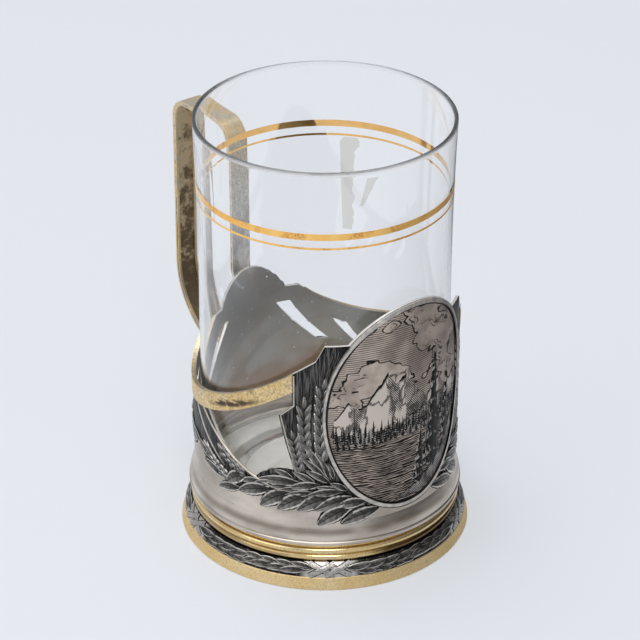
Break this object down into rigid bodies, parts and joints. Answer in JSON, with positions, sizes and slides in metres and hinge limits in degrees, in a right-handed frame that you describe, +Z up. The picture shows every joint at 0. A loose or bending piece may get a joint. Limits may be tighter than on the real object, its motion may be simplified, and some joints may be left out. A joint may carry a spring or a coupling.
{
  "type": "tea glass holder",
  "caption": "Podstakannik: pierced, nielloed and part-gilded metal holder with an oval front plate, a stepped foot and a bent strap handle, carrying its thin-walled tea glass.",
  "frame": {"origin": "on the holder's axis, in the plane of the foot that it stands on", "axes": "+Z up along the axis, -Y towards the oval front plate, +Y towards the handle, +X to the right as the front plate is seen"},
  "size_m": [0.0768, 0.1006, 0.1176],
  "materials": {
    "glass": "clear, thin-walled, with two fired gold bands",
    "silver": "worn white metal with black niello in the engraving",
    "gilt": "worn gilding with brown tarnish"
  },
  "bodies": {
    "holder": {"body_wall": "silver", "medallion_plate": "silver", "medallion_border": "silver", "rim_strap_right": "gilt", "rim_strap_left": "gilt", "skirt": "silver", "floor_plate": "silver", "upper_bead_ring": "gilt", "lower_bead_ring": "gilt", "laurel_band": "silver", "foot_rim": "gilt", "handle": "gilt"},
    "glass": {"tea_glass": "glass"}
  },
  "joints": [
    {"name": "glass_lift", "type": "slide", "parent": "holder", "child": "glass", "axis": [0, 0, 1], "range_m": [0, 0.08]}
  ]
}
